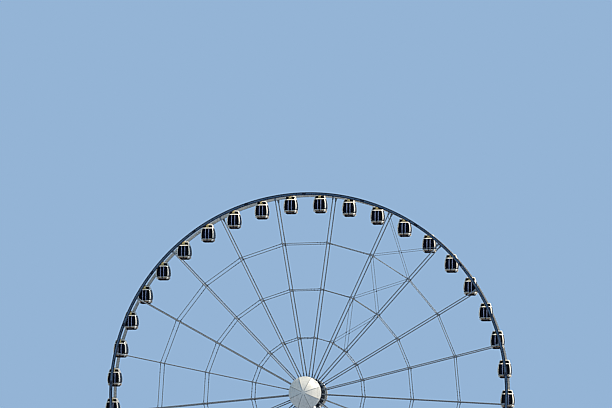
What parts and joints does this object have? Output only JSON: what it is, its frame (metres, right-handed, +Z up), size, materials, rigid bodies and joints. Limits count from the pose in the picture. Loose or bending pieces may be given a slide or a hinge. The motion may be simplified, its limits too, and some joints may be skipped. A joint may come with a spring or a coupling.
{
  "type": "ferris wheel, 1:2 scale model",
  "caption": "Half-size transportable observation wheel: twin rims on thin spokes, enclosed cabins that stay level between them, splayed legs, base frame, boarding decks and steps.",
  "frame": {"origin": "on the ground under the middle of the wheel", "axes": "+Z up, X across the wheel with +X to the right of the front view, Y along the axle with the front at -Y"},
  "size_m": [28.1474, 7.7506, 29.6058],
  "materials": {
    "rim": "satin dark blue",
    "spoke": "satin off-white",
    "hub": "satin off-white",
    "cap": "satin off-white",
    "leg": "satin white",
    "base": "matt grey",
    "deck": "ribbed, dull",
    "cabin": "dark glazed shell"
  },
  "bodies": {
    "structure": {"bearing_front": "leg", "bearing_rear": "leg", "hub_cap_front": "cap", "hub_cap_rear": "cap", "leg_front_left": "leg", "leg_front_right": "leg", "leg_rear_left": "leg", "leg_rear_right": "leg", "deck_front": "deck", "deck_rear": "deck", "steps_front": "deck", "steps_rear": "deck", "base_frame": "base"},
    "wheel": {"hub_spool": "hub", "rim_front": "rim", "rim_rear": "rim", "spokes_front": "spoke", "spokes_rear": "spoke"},
    "cabin_01": {"cabin_01": "cabin"},
    "cabin_02": {"cabin_02": "cabin"},
    "cabin_03": {"cabin_03": "cabin"},
    "cabin_04": {"cabin_04": "cabin"},
    "cabin_05": {"cabin_05": "cabin"},
    "cabin_06": {"cabin_06": "cabin"},
    "cabin_07": {"cabin_07": "cabin"},
    "cabin_08": {"cabin_08": "cabin"},
    "cabin_09": {"cabin_09": "cabin"},
    "cabin_10": {"cabin_10": "cabin"},
    "cabin_11": {"cabin_11": "cabin"},
    "cabin_12": {"cabin_12": "cabin"},
    "cabin_13": {"cabin_13": "cabin"},
    "cabin_14": {"cabin_14": "cabin"},
    "cabin_15": {"cabin_15": "cabin"},
    "cabin_16": {"cabin_16": "cabin"},
    "cabin_17": {"cabin_17": "cabin"},
    "cabin_18": {"cabin_18": "cabin"},
    "cabin_19": {"cabin_19": "cabin"},
    "cabin_20": {"cabin_20": "cabin"},
    "cabin_21": {"cabin_21": "cabin"},
    "cabin_22": {"cabin_22": "cabin"},
    "cabin_23": {"cabin_23": "cabin"},
    "cabin_24": {"cabin_24": "cabin"},
    "cabin_25": {"cabin_25": "cabin"},
    "cabin_26": {"cabin_26": "cabin"},
    "cabin_27": {"cabin_27": "cabin"},
    "cabin_28": {"cabin_28": "cabin"},
    "cabin_29": {"cabin_29": "cabin"},
    "cabin_30": {"cabin_30": "cabin"},
    "cabin_31": {"cabin_31": "cabin"},
    "cabin_32": {"cabin_32": "cabin"},
    "cabin_33": {"cabin_33": "cabin"},
    "cabin_34": {"cabin_34": "cabin"},
    "cabin_35": {"cabin_35": "cabin"},
    "cabin_36": {"cabin_36": "cabin"},
    "cabin_37": {"cabin_37": "cabin"},
    "cabin_38": {"cabin_38": "cabin"},
    "cabin_39": {"cabin_39": "cabin"},
    "cabin_40": {"cabin_40": "cabin"},
    "cabin_41": {"cabin_41": "cabin"},
    "cabin_42": {"cabin_42": "cabin"}
  },
  "joints": [
    {"name": "wheel_spin", "type": "hinge", "parent": "structure", "child": "wheel", "pos_m": [0, 0, 15.9], "axis": [0, 1, 0], "continuous": true},
    {"name": "cabin_01_swing", "type": "hinge", "parent": "wheel", "child": "cabin_01", "pos_m": [-1.20558, 0, 29.44646], "axis": [0, 1, 0], "continuous": true},
    {"name": "cabin_02_swing", "type": "hinge", "parent": "wheel", "child": "cabin_02", "pos_m": [-3.21111, 0, 29.11547], "axis": [0, 1, 0], "continuous": true},
    {"name": "cabin_03_swing", "type": "hinge", "parent": "wheel", "child": "cabin_03", "pos_m": [-5.14491, 0, 28.48928], "axis": [0, 1, 0], "continuous": true},
    {"name": "cabin_04_swing", "type": "hinge", "parent": "wheel", "child": "cabin_04", "pos_m": [-6.96378, 0, 27.58185], "axis": [0, 1, 0], "continuous": true},
    {"name": "cabin_05_swing", "type": "hinge", "parent": "wheel", "child": "cabin_05", "pos_m": [-8.62709, 0, 26.41348], "axis": [0, 1, 0], "continuous": true},
    {"name": "cabin_06_swing", "type": "hinge", "parent": "wheel", "child": "cabin_06", "pos_m": [-10.09769, 0, 25.01025], "axis": [0, 1, 0], "continuous": true},
    {"name": "cabin_07_swing", "type": "hinge", "parent": "wheel", "child": "cabin_07", "pos_m": [-11.34272, 0, 23.40352], "axis": [0, 1, 0], "continuous": true},
    {"name": "cabin_08_swing", "type": "hinge", "parent": "wheel", "child": "cabin_08", "pos_m": [-12.33437, 0, 21.62916], "axis": [0, 1, 0], "continuous": true},
    {"name": "cabin_09_swing", "type": "hinge", "parent": "wheel", "child": "cabin_09", "pos_m": [-13.05049, 0, 19.72683], "axis": [0, 1, 0], "continuous": true},
    {"name": "cabin_10_swing", "type": "hinge", "parent": "wheel", "child": "cabin_10", "pos_m": [-13.47509, 0, 17.73901], "axis": [0, 1, 0], "continuous": true},
    {"name": "cabin_11_swing", "type": "hinge", "parent": "wheel", "child": "cabin_11", "pos_m": [-13.59867, 0, 15.71011], "axis": [0, 1, 0], "continuous": true},
    {"name": "cabin_12_swing", "type": "hinge", "parent": "wheel", "child": "cabin_12", "pos_m": [-13.41849, 0, 13.68546], "axis": [0, 1, 0], "continuous": true},
    {"name": "cabin_13_swing", "type": "hinge", "parent": "wheel", "child": "cabin_13", "pos_m": [-12.93855, 0, 11.71027], "axis": [0, 1, 0], "continuous": true},
    {"name": "cabin_14_swing", "type": "hinge", "parent": "wheel", "child": "cabin_14", "pos_m": [-12.16959, 0, 9.82868], "axis": [0, 1, 0], "continuous": true},
    {"name": "cabin_15_swing", "type": "hinge", "parent": "wheel", "child": "cabin_15", "pos_m": [-11.12879, 0, 8.0827], "axis": [0, 1, 0], "continuous": true},
    {"name": "cabin_16_swing", "type": "hinge", "parent": "wheel", "child": "cabin_16", "pos_m": [-9.83938, 0, 6.51136], "axis": [0, 1, 0], "continuous": true},
    {"name": "cabin_17_swing", "type": "hinge", "parent": "wheel", "child": "cabin_17", "pos_m": [-8.33018, 0, 5.14974], "axis": [0, 1, 0], "continuous": true},
    {"name": "cabin_18_swing", "type": "hinge", "parent": "wheel", "child": "cabin_18", "pos_m": [-6.63489, 0, 4.02826], "axis": [0, 1, 0], "continuous": true},
    {"name": "cabin_19_swing", "type": "hinge", "parent": "wheel", "child": "cabin_19", "pos_m": [-4.79139, 0, 3.17198], "axis": [0, 1, 0], "continuous": true},
    {"name": "cabin_20_swing", "type": "hinge", "parent": "wheel", "child": "cabin_20", "pos_m": [-2.84086, 0, 2.60002], "axis": [0, 1, 0], "continuous": true},
    {"name": "cabin_21_swing", "type": "hinge", "parent": "wheel", "child": "cabin_21", "pos_m": [-0.82688, 0, 2.32516], "axis": [0, 1, 0], "continuous": true},
    {"name": "cabin_22_swing", "type": "hinge", "parent": "wheel", "child": "cabin_22", "pos_m": [1.20558, 0, 2.35354], "axis": [0, 1, 0], "continuous": true},
    {"name": "cabin_23_swing", "type": "hinge", "parent": "wheel", "child": "cabin_23", "pos_m": [3.21111, 0, 2.68453], "axis": [0, 1, 0], "continuous": true},
    {"name": "cabin_24_swing", "type": "hinge", "parent": "wheel", "child": "cabin_24", "pos_m": [5.14491, 0, 3.31072], "axis": [0, 1, 0], "continuous": true},
    {"name": "cabin_25_swing", "type": "hinge", "parent": "wheel", "child": "cabin_25", "pos_m": [6.96378, 0, 4.21815], "axis": [0, 1, 0], "continuous": true},
    {"name": "cabin_26_swing", "type": "hinge", "parent": "wheel", "child": "cabin_26", "pos_m": [8.62709, 0, 5.38652], "axis": [0, 1, 0], "continuous": true},
    {"name": "cabin_27_swing", "type": "hinge", "parent": "wheel", "child": "cabin_27", "pos_m": [10.09769, 0, 6.78975], "axis": [0, 1, 0], "continuous": true},
    {"name": "cabin_28_swing", "type": "hinge", "parent": "wheel", "child": "cabin_28", "pos_m": [11.34272, 0, 8.39648], "axis": [0, 1, 0], "continuous": true},
    {"name": "cabin_29_swing", "type": "hinge", "parent": "wheel", "child": "cabin_29", "pos_m": [12.33437, 0, 10.17084], "axis": [0, 1, 0], "continuous": true},
    {"name": "cabin_30_swing", "type": "hinge", "parent": "wheel", "child": "cabin_30", "pos_m": [13.05049, 0, 12.07317], "axis": [0, 1, 0], "continuous": true},
    {"name": "cabin_31_swing", "type": "hinge", "parent": "wheel", "child": "cabin_31", "pos_m": [13.47509, 0, 14.06099], "axis": [0, 1, 0], "continuous": true},
    {"name": "cabin_32_swing", "type": "hinge", "parent": "wheel", "child": "cabin_32", "pos_m": [13.59867, 0, 16.08989], "axis": [0, 1, 0], "continuous": true},
    {"name": "cabin_33_swing", "type": "hinge", "parent": "wheel", "child": "cabin_33", "pos_m": [13.41849, 0, 18.11454], "axis": [0, 1, 0], "continuous": true},
    {"name": "cabin_34_swing", "type": "hinge", "parent": "wheel", "child": "cabin_34", "pos_m": [12.93855, 0, 20.08973], "axis": [0, 1, 0], "continuous": true},
    {"name": "cabin_35_swing", "type": "hinge", "parent": "wheel", "child": "cabin_35", "pos_m": [12.16959, 0, 21.97132], "axis": [0, 1, 0], "continuous": true},
    {"name": "cabin_36_swing", "type": "hinge", "parent": "wheel", "child": "cabin_36", "pos_m": [11.12879, 0, 23.7173], "axis": [0, 1, 0], "continuous": true},
    {"name": "cabin_37_swing", "type": "hinge", "parent": "wheel", "child": "cabin_37", "pos_m": [9.83938, 0, 25.28864], "axis": [0, 1, 0], "continuous": true},
    {"name": "cabin_38_swing", "type": "hinge", "parent": "wheel", "child": "cabin_38", "pos_m": [8.33018, 0, 26.65026], "axis": [0, 1, 0], "continuous": true},
    {"name": "cabin_39_swing", "type": "hinge", "parent": "wheel", "child": "cabin_39", "pos_m": [6.63489, 0, 27.77174], "axis": [0, 1, 0], "continuous": true},
    {"name": "cabin_40_swing", "type": "hinge", "parent": "wheel", "child": "cabin_40", "pos_m": [4.79139, 0, 28.62802], "axis": [0, 1, 0], "continuous": true},
    {"name": "cabin_41_swing", "type": "hinge", "parent": "wheel", "child": "cabin_41", "pos_m": [2.84086, 0, 29.19998], "axis": [0, 1, 0], "continuous": true},
    {"name": "cabin_42_swing", "type": "hinge", "parent": "wheel", "child": "cabin_42", "pos_m": [0.82688, 0, 29.47484], "axis": [0, 1, 0], "continuous": true}
  ],
  "couplings": [
    {"joint": "cabin_01_swing", "follows": "wheel_spin", "ratio": -1},
    {"joint": "cabin_02_swing", "follows": "wheel_spin", "ratio": -1},
    {"joint": "cabin_03_swing", "follows": "wheel_spin", "ratio": -1},
    {"joint": "cabin_04_swing", "follows": "wheel_spin", "ratio": -1},
    {"joint": "cabin_05_swing", "follows": "wheel_spin", "ratio": -1},
    {"joint": "cabin_06_swing", "follows": "wheel_spin", "ratio": -1},
    {"joint": "cabin_07_swing", "follows": "wheel_spin", "ratio": -1},
    {"joint": "cabin_08_swing", "follows": "wheel_spin", "ratio": -1},
    {"joint": "cabin_09_swing", "follows": "wheel_spin", "ratio": -1},
    {"joint": "cabin_10_swing", "follows": "wheel_spin", "ratio": -1},
    {"joint": "cabin_11_swing", "follows": "wheel_spin", "ratio": -1},
    {"joint": "cabin_12_swing", "follows": "wheel_spin", "ratio": -1},
    {"joint": "cabin_13_swing", "follows": "wheel_spin", "ratio": -1},
    {"joint": "cabin_14_swing", "follows": "wheel_spin", "ratio": -1},
    {"joint": "cabin_15_swing", "follows": "wheel_spin", "ratio": -1},
    {"joint": "cabin_16_swing", "follows": "wheel_spin", "ratio": -1},
    {"joint": "cabin_17_swing", "follows": "wheel_spin", "ratio": -1},
    {"joint": "cabin_18_swing", "follows": "wheel_spin", "ratio": -1},
    {"joint": "cabin_19_swing", "follows": "wheel_spin", "ratio": -1},
    {"joint": "cabin_20_swing", "follows": "wheel_spin", "ratio": -1},
    {"joint": "cabin_21_swing", "follows": "wheel_spin", "ratio": -1},
    {"joint": "cabin_22_swing", "follows": "wheel_spin", "ratio": -1},
    {"joint": "cabin_23_swing", "follows": "wheel_spin", "ratio": -1},
    {"joint": "cabin_24_swing", "follows": "wheel_spin", "ratio": -1},
    {"joint": "cabin_25_swing", "follows": "wheel_spin", "ratio": -1},
    {"joint": "cabin_26_swing", "follows": "wheel_spin", "ratio": -1},
    {"joint": "cabin_27_swing", "follows": "wheel_spin", "ratio": -1},
    {"joint": "cabin_28_swing", "follows": "wheel_spin", "ratio": -1},
    {"joint": "cabin_29_swing", "follows": "wheel_spin", "ratio": -1},
    {"joint": "cabin_30_swing", "follows": "wheel_spin", "ratio": -1},
    {"joint": "cabin_31_swing", "follows": "wheel_spin", "ratio": -1},
    {"joint": "cabin_32_swing", "follows": "wheel_spin", "ratio": -1},
    {"joint": "cabin_33_swing", "follows": "wheel_spin", "ratio": -1},
    {"joint": "cabin_34_swing", "follows": "wheel_spin", "ratio": -1},
    {"joint": "cabin_35_swing", "follows": "wheel_spin", "ratio": -1},
    {"joint": "cabin_36_swing", "follows": "wheel_spin", "ratio": -1},
    {"joint": "cabin_37_swing", "follows": "wheel_spin", "ratio": -1},
    {"joint": "cabin_38_swing", "follows": "wheel_spin", "ratio": -1},
    {"joint": "cabin_39_swing", "follows": "wheel_spin", "ratio": -1},
    {"joint": "cabin_40_swing", "follows": "wheel_spin", "ratio": -1},
    {"joint": "cabin_41_swing", "follows": "wheel_spin", "ratio": -1},
    {"joint": "cabin_42_swing", "follows": "wheel_spin", "ratio": -1}
  ]
}
